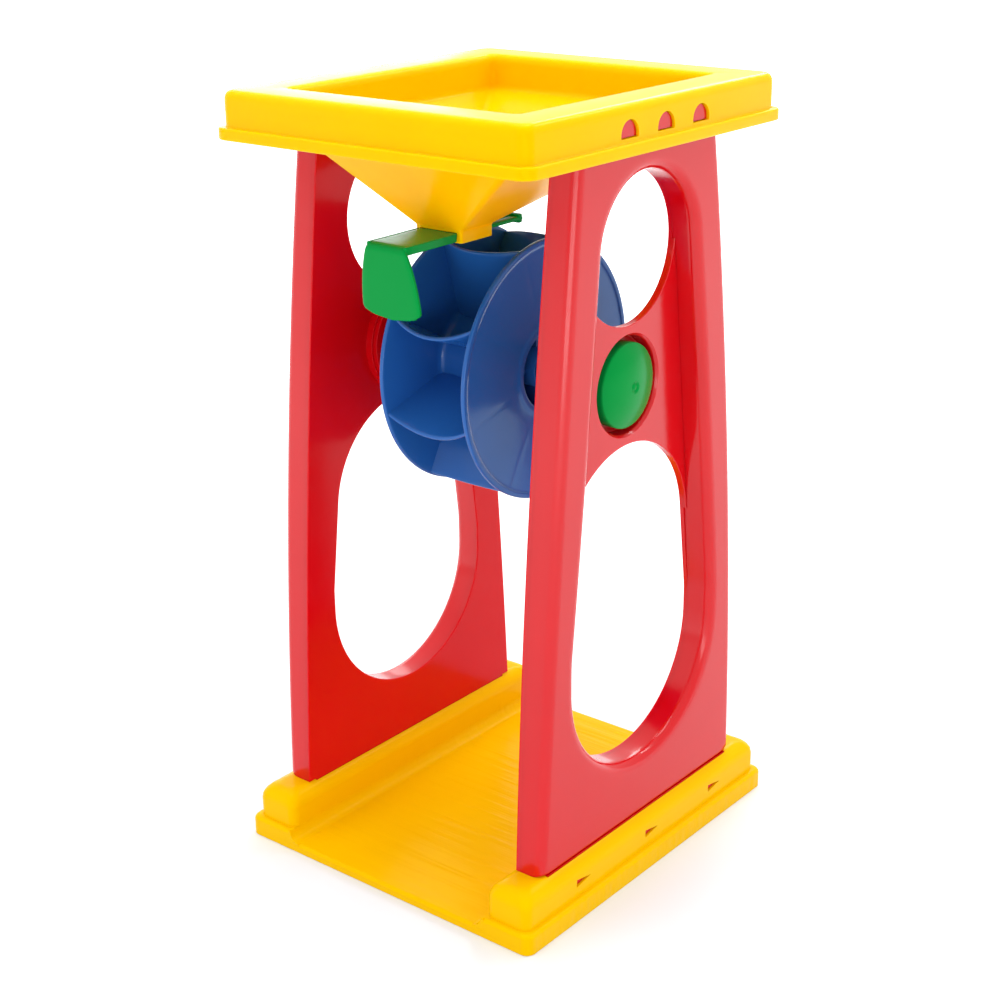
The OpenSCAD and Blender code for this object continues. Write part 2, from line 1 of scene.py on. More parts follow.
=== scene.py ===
# %% [markdown]
# # A sand mill in Blender
# The toy is a tower: a hopper pours sand past a sliding gate on to a bucket wheel, which turns
# between two openwork side panels that stand in a low base. Everything on it is glossy moulded
# plastic, so the lesson is about clean surfaces, small rounded edges and soft studio light.

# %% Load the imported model
import math

import bmesh
import bpy
import numpy as np
from mathutils import Matrix, Vector


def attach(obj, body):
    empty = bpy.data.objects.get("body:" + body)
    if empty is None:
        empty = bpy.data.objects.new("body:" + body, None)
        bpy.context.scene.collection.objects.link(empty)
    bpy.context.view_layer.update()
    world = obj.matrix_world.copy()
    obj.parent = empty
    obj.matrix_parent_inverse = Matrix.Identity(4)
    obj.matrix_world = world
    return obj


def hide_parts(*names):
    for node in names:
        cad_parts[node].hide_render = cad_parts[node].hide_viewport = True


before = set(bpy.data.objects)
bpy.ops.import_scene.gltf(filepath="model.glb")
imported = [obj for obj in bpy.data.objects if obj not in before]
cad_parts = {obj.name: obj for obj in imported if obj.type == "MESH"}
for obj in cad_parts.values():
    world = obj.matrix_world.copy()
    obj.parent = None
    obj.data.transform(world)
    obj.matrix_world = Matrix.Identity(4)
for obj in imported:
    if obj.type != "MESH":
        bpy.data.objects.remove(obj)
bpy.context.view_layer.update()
MM = 0.001

# %% [markdown]
# ## The sizes that the pieces share
# The visual pieces sit exactly where the solid model has them. They repeat its sizes here, in
# millimetres, with X along the axle, the gate's handle at -Y and Z up.

# %% Shared sizes
TOTAL_H = 400.0
WALL = 2.4
AXLE_Z = 260.0
WHEEL_R, WHEEL_HALF_W, DISC_T = 66.4, 27.2, 2.4
DRUM_R, TIP_R, VANE_T, VANE_SAG = 22.5, 65.6, 2.2, 7.3
BEAD_H, BEAD_W = 0.8, 2.6
PIN_R, SLEEVE_R, SLEEVE_OUT = 7.0, 7.1, 10.4
SKIRT_X, SKIRT_Y, SKIRT_Z, SKIRT_BEAD, BEAD_TOP = 92.6, 99.8, 376.8, 3.1, 382.6
TUB_X, TUB_Y, TUB_Z = 71.2, 78.4, 381.0
SPOUT_X, SPOUT_Y, SPOUT_MID, SPOUT_Z, SPOUT_TOP = 14.4, 11.8, -38.8, 330.9, 337.1
RIM_R, HOPPER_R = 5.0, 6.0
GATE_Z, GATE_T, GATE_NOSE, GATE_END, GATE_HALF_W = 333.3, 2.4, -89.0, -0.4, 11.4
WINDOW_Y = (-25.4, 3.4, 32.2)
# Edges that bend more than this many degrees stay sharp, on new surfaces and on cut solids
CREASE, SOLID_CREASE = 32.0, 35.0

# %% [markdown]
# ## Surfaces from arrays
# Each new piece is a grid of points: one parameter runs round a section and the other runs
# along the piece. Numpy works out the whole grid at once, and the faces follow from the grid's
# indices, so one small helper can turn every grid into a mesh.

# %% Grid to mesh
def grid_faces(rows, cols, close_rows=False, close_cols=True):
    """Quads of a grid: point (i, j) joins (i, j + 1), (i + 1, j + 1) and (i + 1, j)."""
    i = np.arange(rows if close_rows else rows - 1)[:, None]
    j = np.arange(cols if close_cols else cols - 1)[None, :]
    i1, j1 = (i + 1) % rows, (j + 1) % cols
    return np.stack([i * cols + j, i * cols + j1, i1 * cols + j1, i1 * cols + j], -1).reshape(-1, 4)


def mesh_from_grids(name, grids):
    """One mesh from several grids, each given as (points, close_rows, close_cols)."""
    points, faces, start = [], [], 0
    for grid, close_rows, close_cols in grids:
        rows, cols = grid.shape[:2]
        points.append(grid.reshape(-1, 3))
        faces.append(grid_faces(rows, cols, close_rows, close_cols) + start)
        start += rows * cols
    mesh = bpy.data.meshes.new(name)
    mesh.from_pydata((np.concatenate(points) * MM).tolist(), [], np.concatenate(faces).tolist())
    tidy_mesh(mesh)
    return mesh


def tidy_mesh(mesh):
    """Merges doubled points, turns all faces outwards and keeps the sharp edges sharp."""
    bm = bmesh.new()
    bm.from_mesh(mesh)
    bmesh.ops.remove_doubles(bm, verts=bm.verts, dist=2e-6)
    bmesh.ops.dissolve_degenerate(bm, edges=bm.edges, dist=1e-6)
    bmesh.ops.recalc_face_normals(bm, faces=bm.faces)
    bm.to_mesh(mesh)
    bm.free()
    shade(mesh)


def shade(mesh, crease=CREASE):
    mesh.polygons.foreach_set("use_smooth", np.ones(len(mesh.polygons), bool))
    mesh.set_sharp_from_angle(angle=math.radians(crease))
    mesh.update()


def place(mesh, material, slot, body, *nodes):
    """Links a finished mesh as a piece that rides on a body and stands for its solid nodes."""
    piece = bpy.data.objects.new(mesh.name, mesh)
    bpy.context.scene.collection.objects.link(piece)
    mesh.materials.clear()
    mesh.materials.append(material)
    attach(piece, body)
    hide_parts(*nodes)
    print(f"{piece.name}: {len(mesh.vertices)} points, {len(mesh.polygons)} faces")
    return piece


# %% [markdown]
# ## Soft corners on any path
# A moulded part has no knife edges. `soften` takes a path of points, in any number of
# dimensions, and swaps each corner for a short curve, so a profile is typed with its plain
# corners and comes back rounded.

# %% Rounded paths and rings
def soften(path, radii, steps=4):
    """Each corner P between A and B becomes (1-t)^2 A' + 2t(1-t) P + t^2 B', where A' and B' lie
    one radius before and after P on the path."""
    path = np.asarray(path, float)
    t = np.linspace(0.0, 1.0, steps + 1)[:, None]
    out = []
    for k, (p, r) in enumerate(zip(path, radii)):
        if r <= 0 or k in (0, len(path) - 1):
            out.append(p[None])
            continue
        back, on = path[k - 1] - p, path[k + 1] - p
        a = p + back / np.linalg.norm(back) * min(r, np.linalg.norm(back) * 0.49)
        b = p + on / np.linalg.norm(on) * min(r, np.linalg.norm(on) * 0.49)
        out.append((1 - t) ** 2 * a + 2 * t * (1 - t) * p + t**2 * b)
    return np.concatenate(out)


def rectangle_rings(stations, steps=8):
    """Rings of rounded rectangles. A station is half width, half depth, corner radius, height and
    middle in Y; a corner's points are its centre plus the radius times (cos a, sin a)."""
    s = np.asarray(stations, float)
    hx, hy, r, z, y0 = (s[:, k][:, None, None] for k in range(5))
    r = np.minimum(r, np.minimum(hx, hy))
    side = np.array([[1, 1], [-1, 1], [-1, -1], [1, -1]], float)
    a = np.radians(np.arange(4)[:, None] * 90 + np.linspace(0, 90, steps + 1)[None, :])[None]
    x = side[None, :, None, 0] * (hx - r) + r * np.cos(a)
    y = y0 + side[None, :, None, 1] * (hy - r) + r * np.sin(a)
    return np.stack([x, y, z + 0 * x], -1).reshape(len(s), -1, 3)


def revolve(profile, turns=160):
    """A profile of (radius, distance along X) turned about the axle: y = r cos a, z = r sin a."""
    p = np.asarray(profile, float)
    a = np.linspace(0, 2 * np.pi, turns, endpoint=False)[None, :]
    r, x = p[:, 0][:, None], p[:, 1][:, None]
    return np.stack([x + 0 * a, r * np.cos(a), AXLE_Z + r * np.sin(a)], -1)


def mirrored(grid):
    return grid * np.array([-1.0, 1.0, 1.0])


# %% [markdown]
# ## Cutting real holes
# The snap windows and the gate's slot are true openings, and a boolean cuts them cleanly from a
# closed shell. The result is baked into the mesh, so no cutter stays in the scene.

# %% Boolean cuts
def cut(mesh, cutters, joined=(), crease=CREASE):
    """Joins some meshes to the mesh, takes each cutter away and returns the new mesh."""
    target = bpy.data.objects.new(mesh.name, mesh)
    tools = [bpy.data.objects.new("cutter", c) for c in [*joined, *cutters]]
    for o in [target, *tools]:
        bpy.context.scene.collection.objects.link(o)
    for k, tool in enumerate(tools):
        m = target.modifiers.new("cut", "BOOLEAN")
        m.operation = "UNION" if k < len(joined) else "DIFFERENCE"
        m.solver, m.object = "EXACT", tool
    graph = bpy.context.evaluated_depsgraph_get()
    result = bpy.data.meshes.new_from_object(target.evaluated_get(graph))
    for o in [target, *tools]:
        bpy.data.objects.remove(o)
    result.name = mesh.name
    shade(result, crease)
    return result


def prism_grid(points, low, high, axis):
    """A closed prism: an outline in the plane across the axis, repeated at two levels."""
    outline = np.asarray(points, float)
    levels = np.array([low, low, high, high], float)[:, None]
    squeeze = np.array([0.0, 1.0, 1.0, 0.0])[:, None]
    mid = outline.mean(0)
    u = mid[0] + (outline[:, 0] - mid[0])[None] * squeeze
    v = mid[1] + (outline[:, 1] - mid[1])[None] * squeeze
    w = levels + 0 * u
    order = {"x": (w, u, v), "y": (u, w, v), "z": (u, v, w)}[axis]
    return np.stack(order, -1)


def prism(points, low, high, axis):
    return mesh_from_grids("prism", [(prism_grid(points, low, high, axis), False, True)])


# %% [markdown]
# ## Glossy moulded plastic
# One finish with four colours. The gloss is not perfect on the real toy: the surface has a
# faint orange-peel wave from the mould, the sheen varies a little, and the colour is a touch
# uneven where the melt flowed. Three noise textures on Object coordinates give these. The base
# has a deeper yellow of its own, and a fourth, stretched noise draws flow lines on its floor.

# %% Plastic material
# Scale and detail of each noise
FLOW, SHEEN, PEEL, STREAK = (14.0, 3.0), (55.0, 4.0), (110.0, 0.0), (1.0, 2.0)
TINT_BAND = (0.32, 0.68)
ROUGH_LESS, ROUGH_MORE = 0.05, 0.07
PEEL_STRENGTH, BUMP_DEPTH = 0.04, 0.001
STREAK_STRETCH = (9.0, 170.0, 40.0)
# Metres: the heights where streaks fade out, and the distances where the dull side ends
STREAK_TOP, DULL_EDGE = (0.012, 0.018), (0.0720, 0.0724)
SKIN_DEPTH, SKIN_SPREAD = 0.006, (1.0, 0.5, 0.2)
COAT_ROUGH = 0.12


def ramp_node(tree, source, start, end, first, last):
    """A map range node's output: first to last while the source goes from start to end."""
    ramp = tree.nodes.new("ShaderNodeMapRange")
    limits = (("From Min", start), ("From Max", end), ("To Min", first), ("To Max", last))
    for socket, value in limits:
        ramp.inputs[socket].default_value = value
    tree.links.new(source, ramp.inputs["Value"])
    return ramp.outputs["Result"]


def math_node(tree, operation, *sources):
    node = tree.nodes.new("ShaderNodeMath")
    node.operation = operation
    for k, source in enumerate(sources):
        tree.links.new(source, node.inputs[k])
    return node.outputs[0]


def moulded_plastic(name, colour, deep, sheen_tint, gloss, coat=0.0, rough=0.2, glow=0.0,
                    dull=None, streaks=0.0):
    """Colour moves between two close tints by a slow noise; roughness and bump by finer ones.
    Where dull is given, the gloss drops to it within 72.2 mm of the middle plane.
    Where streaks is given, flow lines along X show on surfaces lower than 12 mm."""
    mat = bpy.data.materials.new(name)
    mat.use_nodes = True
    tree = mat.node_tree
    nodes, links = tree.nodes, tree.links
    shader = nodes["Principled BSDF"]
    where = nodes.new("ShaderNodeTexCoord").outputs["Object"]
    split = nodes.new("ShaderNodeSeparateXYZ")
    links.new(where, split.inputs[0])

    def noise(kind, source=where):
        n = nodes.new("ShaderNodeTexNoise")
        n.inputs["Scale"].default_value, n.inputs["Detail"].default_value = kind
        links.new(source, n.inputs["Vector"])
        return n.outputs["Fac"]

    def bump(height, strength, under=None):
        b = nodes.new("ShaderNodeBump")
        b.inputs["Distance"].default_value = BUMP_DEPTH
        b.inputs["Strength"].default_value = strength
        links.new(height, b.inputs["Height"])
        if under:
            links.new(under.outputs["Normal"], b.inputs["Normal"])
        return b

    tint = nodes.new("ShaderNodeValToRGB")
    for k, hue in enumerate((deep, colour)):
        tint.color_ramp.elements[k].position = TINT_BAND[k]
        tint.color_ramp.elements[k].color = (*hue, 1)
    links.new(noise(FLOW), tint.inputs["Fac"])
    links.new(tint.outputs["Color"], shader.inputs["Base Color"])

    rough_now = ramp_node(tree, noise(SHEEN), 0, 1, rough - ROUGH_LESS, rough + ROUGH_MORE)
    links.new(rough_now, shader.inputs["Roughness"])

    lines = None
    if streaks:
        along = nodes.new("ShaderNodeMapping")
        along.inputs["Scale"].default_value = STREAK_STRETCH
        links.new(where, along.inputs["Vector"])
        lines = bump(noise(STREAK, along.outputs["Vector"]), streaks)
        strength = ramp_node(tree, split.outputs["Z"], *STREAK_TOP, streaks, 0.0)
        links.new(strength, lines.inputs["Strength"])
    links.new(bump(noise(PEEL), PEEL_STRENGTH, lines).outputs["Normal"], shader.inputs["Normal"])

    if dull is not None:
        side = math_node(tree, "ABSOLUTE", split.outputs["X"])
        level = ramp_node(tree, side, *DULL_EDGE, dull, gloss)
        links.new(level, shader.inputs["Specular IOR Level"])

    # Thin walls let some light through, which lifts the shaded side of the hopper
    settings = {"Subsurface Weight": glow, "Subsurface Scale": SKIN_DEPTH,
                "Subsurface Radius": SKIN_SPREAD, "IOR": 1.5, "Specular IOR Level": gloss,
                "Specular Tint": (*sheen_tint, 1), "Coat Weight": coat,
                "Coat Roughness": COAT_ROUGH}
    for socket, value in settings.items():
        shader.inputs[socket].default_value = value
    return mat


WHITE, GOLD, MINT = (1, 1, 1), (1, 0.7, 0.03), (0.3, 1, 0.5)
yellow = moulded_plastic("yellow_plastic", (1.0, 0.54, 0.0), (0.98, 0.52, 0.0), GOLD, 0.12,
                         glow=0.5)
amber = moulded_plastic("yellow_plastic_base", (0.88, 0.505, 0.0), (0.86, 0.475, 0.0), GOLD, 0.08,
                        streaks=0.9)
red = moulded_plastic("red_plastic", (0.66, 0.002, 0.006), (0.63, 0.001, 0.005), WHITE, 0.38,
                      coat=0.1, rough=0.15, glow=0.35, dull=0.1)
blue = moulded_plastic("blue_plastic", (0.018, 0.115, 0.41), (0.016, 0.105, 0.37), WHITE, 0.24,
                       coat=0.06, rough=0.16)
green = moulded_plastic("green_plastic", (0.0, 0.285, 0.046), (0.0, 0.27, 0.043), MINT, 0.14)
print("materials:", [m.name for m in (yellow, amber, red, blue, green)])

# %% [markdown]
# ## The hopper
# The real hopper is one thin shell: a skirt with a bead, a broad rim, a square tub, a pyramid
# funnel and a short spout. It could be built from boxes, but then no edge would be rounded.
# Instead a single chain of rounded rectangles runs up the outside, over the rim, down through
# the funnel, round the spout's lip and back up outside, and closes on itself.

# %% Hopper shell
BEAD_R, SPOUT_R, SPOUT_OUT_R, FUNNEL_RISE = 7.5, 2.0, 1.6, 1.2
SLOT_HALF_W, SLOT_FIT = 11.6, 0.15
WINDOW_Z, WINDOW_RISE, WINDOW_R = 384.5, 1.5, 6.9


def hopper_stations():
    """The closed chain; each station is half width, half depth, corner radius, height, middle."""
    w, inner = WALL, HOPPER_R - WALL
    bead = (SKIRT_X + SKIRT_BEAD, SKIRT_Y + SKIRT_BEAD, BEAD_R)
    skirt, skirt_in = (SKIRT_X, SKIRT_Y, HOPPER_R), (SKIRT_X - w, SKIRT_Y - w, HOPPER_R)
    tub, tub_in = (TUB_X, TUB_Y, HOPPER_R), (TUB_X - w, TUB_Y - w, inner)
    spout, spout_in = (SPOUT_X, SPOUT_Y, SPOUT_OUT_R), (SPOUT_X - w, SPOUT_Y - w, SPOUT_R)
    # Form, height, middle in Y and the softening of the corner there
    chain = [(skirt_in, SKIRT_Z, 0, 0), (bead, SKIRT_Z, 0, 1.0), (bead, BEAD_TOP, 0, 1.4),
             (skirt, BEAD_TOP, 0, 1.0), (skirt, TOTAL_H, 0, RIM_R), (tub_in, TOTAL_H, 0, RIM_R),
             (tub_in, TUB_Z + FUNNEL_RISE, 0, 2.5),
             (spout_in, SPOUT_TOP + FUNNEL_RISE, SPOUT_MID, 1.5),
             (spout_in, SPOUT_Z, SPOUT_MID, 0.5), (spout, SPOUT_Z, SPOUT_MID, 0.7),
             (spout, SPOUT_TOP, SPOUT_MID, 1.2), (tub, TUB_Z, 0, 1.5),
             (tub, TOTAL_H - w, 0, 1.0), (skirt_in, TOTAL_H - w, 0, 1.0),
             (skirt_in, SKIRT_Z, 0, 0)]
    path = [(*form, z, y) for form, z, y, _ in chain]
    return soften(path, [soft for *_, soft in chain], steps=6)[:-1]


def half_moon(cy, low, rise, r):
    """A circle cut off flat below its centre, as points (y, z)."""
    dip = math.asin(rise / r)
    a = np.linspace(-dip, math.pi + dip, 40)
    return np.stack([cy + r * np.cos(a), low + rise + r * np.sin(a)], -1)


shell = mesh_from_grids("hopper_shell", [(rectangle_rings(hopper_stations()), True, True)])
low, high = GATE_Z - SLOT_FIT, GATE_Z + GATE_T + SLOT_FIT
slot_box = [(-SLOT_HALF_W, low), (SLOT_HALF_W, low), (SLOT_HALF_W, high), (-SLOT_HALF_W, high)]
cutters = [prism(slot_box, SPOUT_MID - SPOUT_Y - 2, SPOUT_MID + SPOUT_Y + 2, "y")]
for cy in WINDOW_Y:
    for low, high in ((SKIRT_X - 5, SKIRT_X + 2), (-SKIRT_X - 2, -SKIRT_X + 5)):
        window = half_moon(cy, WINDOW_Z, WINDOW_RISE, WINDOW_R)
        cutters.append(prism(window, low, high, "x"))
place(cut(shell, cutters), yellow, "yellow_plastic", "frame", "hopper")

# %% [markdown]
# ## The bucket wheel
# Each half of the wheel is one moulding: a disc with a bead round its edge, half of the hub
# drum, a sleeve that runs on the axle pin, and eight half vanes. The disc is a turned profile,
# and where the vanes end behind it the plastic sinks a little, which shows as faint creases.

# %% Wheel disc and drum
SAG_TURN = math.degrees(math.asin(VANE_SAG / TIP_R))
VANE_ANGLES = 67.5 - SAG_TURN + 45.0 * np.arange(8)
SINK_D, SINK_W, RIPPLE_D, RIPPLE_R = 0.12, 1.6, 0.03, 46.0
SLEEVE_END = 26.0


def disc_grid():
    x1, bore = WHEEL_HALF_W, DRUM_R - WALL
    chain = [(bore, 0), (bore, x1), (DRUM_R + 0.6, x1), (DRUM_R + 2.4, x1 - BEAD_H),
             (WHEEL_R - BEAD_W - BEAD_H, x1 - BEAD_H), (WHEEL_R - BEAD_W, x1), (WHEEL_R, x1),
             (WHEEL_R, x1 - DISC_T), (DRUM_R, x1 - DISC_T), (DRUM_R, 0)]
    profile = soften(chain, [0, 0.8, 0.5, 0.8, 1.2, 0.8, 0.9, 0.9, 4.0, 0], steps=5)
    dense = [profile[0]]
    for a, b in zip(profile[:-1], profile[1:]):
        n = max(1, int(np.linalg.norm(b - a) / 3.0))
        dense.extend(a + (b - a) * (np.arange(n)[:, None] + 1) / n)
    grid = revolve(dense, 288)
    # Sink marks: depth x exp(-(d / 1.6 mm)^2) on the outer face, d across each vane's line
    y, z = grid[..., 1], grid[..., 2] - AXLE_Z
    r = np.hypot(y, z)
    angle = np.degrees(np.arctan2(-y, z))
    gap = (angle[..., None] - VANE_ANGLES + 180) % 360 - 180
    d = np.abs(np.sin(np.radians(gap)) * r[..., None])
    mark = np.where(np.abs(gap) < 60, np.exp(-((d / SINK_W) ** 2)), 0).max(-1)
    face = (grid[..., 0] > x1 - BEAD_H - 0.3) & (r > DRUM_R + 3) & (r < WHEEL_R - BEAD_W - 1)
    reach = np.clip((r - DRUM_R - 6) / 16, 0, 1)
    ripple = RIPPLE_D * (1 + np.cos(r * 1.9)) * (r < RIPPLE_R)
    grid[..., 0] -= (SINK_D * mark * reach + ripple) * face
    return grid


def sleeve_grid():
    chain = [(SLEEVE_R, 0), (SLEEVE_R, SLEEVE_END), (SLEEVE_OUT, SLEEVE_END), (SLEEVE_OUT, 0)]
    return revolve(soften(chain, [0, 0.5, 0.5, 0]), 96)


# %% [markdown]
# ## The vanes
# A vane is a curved sheet: its rim dips in the middle like the lip of a scoop. The dip is a
# parabola across the wheel that fades out towards the drum. The sheet's section runs up one
# face, round the rim and down the other face, and is carried across from the wheel's middle to
# the disc. At the middle it ends in a flat cap where the two halves meet.

# %% Vane surfaces
VANE_HALF_W, VANE_END, FACE_STEPS = 24.8, 26.0, 14


def vane_dip(x, r):
    """Sag times growth along the radius times ((x / half width)^2 - 1)."""
    u = np.clip((r - DRUM_R) / (TIP_R - DRUM_R), 0, 1.1)
    return VANE_SAG * (0.15 + 0.85 * u**1.4) * ((x / VANE_HALF_W) ** 2 - 1)


def turn_about_axle(x, y, r, turn):
    """Points given along the axle, across the vane and outwards, turned by some degrees."""
    c, s = math.cos(math.radians(turn)), math.sin(math.radians(turn))
    return np.stack([x + 0 * y, c * y - s * r, AXLE_Z + s * y + c * r], -1)


def vane_grid(turn):
    r_face = np.linspace(DRUM_R - 1.2, TIP_R - VANE_T / 2, FACE_STEPS)
    a = np.linspace(0, np.pi, 9)[1:-1]
    r = np.concatenate([r_face, TIP_R - VANE_T / 2 + VANE_T / 2 * np.sin(a), r_face[::-1]])
    flat = np.full(FACE_STEPS, 0.5)
    off = np.concatenate([flat, 0.5 * np.cos(a), -flat]) * VANE_T
    x = np.concatenate([[0.0], np.linspace(0.0, VANE_END, 12), [VANE_END]])[:, None]
    thick = np.ones_like(x)
    thick[0] = thick[-1] = 0.0
    return turn_about_axle(x, vane_dip(x, r[None]) + off[None] * thick, r, turn)


def bar_grid(y_half, r0, r1, x1, turn):
    """A flat spoke inside the drum, with rounded long edges."""
    ring = rectangle_rings([(y_half * k, (r1 - r0) / 2, 0.4 * k, x, (r0 + r1) / 2)
                            for k, x in ((0.01, 0), (1, 0), (1, x1), (0.01, x1))], 3)
    return turn_about_axle(ring[..., 2], ring[..., 0], ring[..., 1], turn)


# %% Both wheel halves
# How far a spoke's ends sink into sleeve and drum, and its length along the axle
SINK_IN, SPOKE_L = 0.6, 20.0


def wheel_half_grids():
    grids = [(disc_grid(), True, True), (sleeve_grid(), True, True)]
    grids += [(vane_grid(a), False, True) for a in VANE_ANGLES]
    grids += [(bar_grid(WALL / 2, SLEEVE_OUT - SINK_IN, DRUM_R - WALL + SINK_IN, SPOKE_L, a),
               False, True) for a in (0, 90, 180, 270)]
    return grids


for side, node in ((1, "right_wheel_half"), (-1, "left_wheel_half")):
    grids = [(g if side > 0 else mirrored(g), a, b) for g, a, b in wheel_half_grids()]
    place(mesh_from_grids(node + "_moulding", grids), blue, "blue_plastic", "wheel", node)

# %% [markdown]
# ## The axle pins
# A pin is a short mushroom: a shallow dome that shows in the side panel, and a stem that the
# wheel's sleeve turns on. It is turned from one profile, with the small sprue dimple that the
# mould leaves in the middle of the dome.

# %% Axle pins
CAP_X, CAP_R, DOME_H, CAP_SIDE, PIN_END = 75.3, 21.5, 4.6, 8.0, 10.2


def pin_grid():
    """Profile of pip, dome and stem; the dome's ball has radius (cap^2 + rise^2) / (2 rise)."""
    head, cap_r, dome = CAP_X, CAP_R, DOME_H
    ball = (cap_r**2 + dome**2) / (2 * dome)
    r = np.linspace(3.2, cap_r - 1.2, 16)
    crown = np.stack([r, head + dome - ball + np.sqrt(ball**2 - r**2)], -1)
    pip = [(r, head + dome - drop) for r, drop in ((0, 0), (0.9, 0.1), (1.5, 0.55), (2.0, 0.8))]
    under, low = head - WALL / 2, head - CAP_SIDE
    rest = soften([crown[-1], (cap_r, head), (cap_r, low), (cap_r - WALL, low),
                   (cap_r - WALL, under), (PIN_R, under), (PIN_R, PIN_END), (0, PIN_END)],
                  [0, 1.0, 0.4, 0.4, 0.6, 0.8, 0.9, 0])
    return revolve(np.concatenate([pip, crown, rest[1:]]), 128)


for side, node in ((1, "right_axle_pin"), (-1, "left_axle_pin")):
    grid = pin_grid() if side > 0 else mirrored(pin_grid())
    mesh = mesh_from_grids(node + "_turned", [(grid, False, True)])
    place(mesh, green, "green_plastic", "frame", node)

# %% [markdown]
# ## The gate
# The gate is a strip that is bent down at its front to make a finger tab. A rounded bar section
# is carried along the strip's middle line; its width changes along the way, and the tab's lower
# edge bows out because the line is stretched more in the middle of the tab than at its sides.

# %% Gate strip
HANDLE_H, HANDLE_DIP, HANDLE_W, HANDLE_LEAN = 32.5, 2.6, 18.0, math.radians(6)
HANDLE_CORNER, FOLD_R, BOW_FROM = 3.2, 4.0, 0.35


def gate_half_width(s):
    """Half width of the hanging tab at a share s of its length."""
    widening = np.sin(np.pi / 2 * np.clip(s, 0, 1)) ** 0.72
    return GATE_HALF_W + (HANDLE_W - GATE_HALF_W) * widening


def gate_strip():
    """The strip's middle line, its directions and normals, its half width and the share hung."""
    mid = GATE_Z + GATE_T / 2
    nose = GATE_NOSE + GATE_T / 2
    fall = np.array([math.sin(HANDLE_LEAN), -math.cos(HANDLE_LEAN)]) * HANDLE_H
    flat = [(y, mid) for y in np.linspace(GATE_END, nose + 6, 30)]
    corner = np.array([nose, mid])
    fold = soften([flat[-1], corner, corner + fall * 0.2], [0, FOLD_R, 0], 12)
    drop = corner + fall * np.linspace(0.24, 1, 28)[:, None]
    line = np.concatenate([flat[:-1], fold, drop])
    step = np.gradient(line, axis=0)
    step /= np.linalg.norm(step, axis=1)[:, None]
    normal = np.stack([step[:, 1], -step[:, 0]], -1)
    down = np.clip((mid - line[:, 1]) / HANDLE_H / math.cos(HANDLE_LEAN), 0, 1)
    half = np.where(line[:, 1] > mid - 0.5, GATE_HALF_W, gate_half_width(down))
    # The tab's lower corners: R - sqrt(R^2 - (R - left)^2) where less than R is left of it
    left = np.minimum((1 - down) * HANDLE_H, HANDLE_CORNER)
    half = half - HANDLE_CORNER + np.sqrt(HANDLE_CORNER**2 - (HANDLE_CORNER - left) ** 2)
    return line, step, normal, half, down


def gate_grid():
    """A superellipse section, nearly a rectangle with softly rounded long edges, along the line."""
    line, step, normal, half, down = gate_strip()
    a = np.arange(72) / 72 * 2 * np.pi
    cu, cv = np.cos(a), np.sin(a)
    u = np.sign(cu) * np.abs(cu) ** 0.16
    v = np.sign(cv) * np.abs(cv) ** 0.5
    bowed = np.clip(down - BOW_FROM, 0, 1)[:, None] / (1 - BOW_FROM)
    dip = bowed * HANDLE_DIP * (1 - u[None] ** 2)
    x = half[:, None] * u[None]
    yz = (line[:, None] + step[:, None] * dip[..., None]
          + normal[:, None] * (v * GATE_T / 2)[None, :, None])
    grid = np.concatenate([x[..., None], yz], -1)
    first, last = grid[:1].copy(), grid[-1:].copy()
    first[..., 2] = GATE_Z + GATE_T / 2
    last[0, :, 1:] = line[-1] + step[-1] * (dip[-1][:, None] + 0.7)
    return np.concatenate([first, grid, last])


def block(hx, cx, y0, y1, z0, z1, r=0.5):
    """A small rounded block as a chain of rounded rectangles that shrinks at both ends."""
    cy, hy = (y0 + y1) / 2, (y1 - y0) / 2
    e = r * 0.6
    point, narrow, full = (0.05, 0.05, 0.02), (hx - e, hy - e, r), (hx, hy, r)
    stack = ((point, z0), (narrow, z0), (full, z0 + e), (full, z1 - e), (narrow, z1), (point, z1))
    rings = rectangle_rings([(*form, z, cy) for form, z in stack], 4)
    rings[..., 0] += cx
    return rings


gate_top = GATE_Z + GATE_T
gate_parts = [(gate_grid(), False, True)]
for cx in (-GATE_HALF_W, GATE_HALF_W):
    rib = block(0.9, cx, GATE_NOSE + 1.6, -51.4, gate_top - 4.0, gate_top)
    gate_parts.append((rib, False, True))
end_stop = block(GATE_HALF_W, 0, GATE_END - 3, GATE_END, GATE_Z - 1.0, gate_top + 1.0, 0.7)
gate_parts.append((end_stop, False, True))
gate_mesh = mesh_from_grids("gate_strip", gate_parts)
port = rectangle_rings([(7.8, 9.4, 1.9, 0, -15.2)], 6)[0][:, :2]
gate_mesh = cut(gate_mesh, [prism(port, GATE_Z - 2, gate_top + 2, "z")])
place(gate_mesh, green, "green_plastic", "gate", "gate_slide")

# %% [markdown]
# ## The side panels
# A panel's outer shell is a height field: its face swells gently at mid height and rolls over
# at the front and back edges. The grid runs on rays from the tall opening to the outline, so
# the opening and the outline are both exact, and no ray crosses another.

# %% Panel surface
PANEL_OUT, SHELL_IN, RAIL_H, PANEL_TOP = 87.4, 73.8, 29.4, 397.4
FOOT_HALF, TAPER, BOW, SWELL = 86.0, 29.5, 3.6, 1.8
ROLL, LIP, FOOT_ROLL = 5.0, 5.5, 2.0
UPPER_R, UPPER_Z, LOWER_R, LOWER_Z, LOWER_TOP, LEAN = 37.8, 328.0, 59.6, 121.8, 133.8, 6.45
TONGUE_HALF, TONGUE_Z = 80.8, 5.2
BARB_Y, BARB_IN, BARB_OUT = (-58.1, 1.9, 61.9), 86.4, 91.7
NUB_Z, NUB_RISE, NUB_R, NUB_IN, NUB_BACK = 384.9, 1.1, 6.5, 85.0, 1.4
FLIP_Y = np.array([-1.0, 1.0])


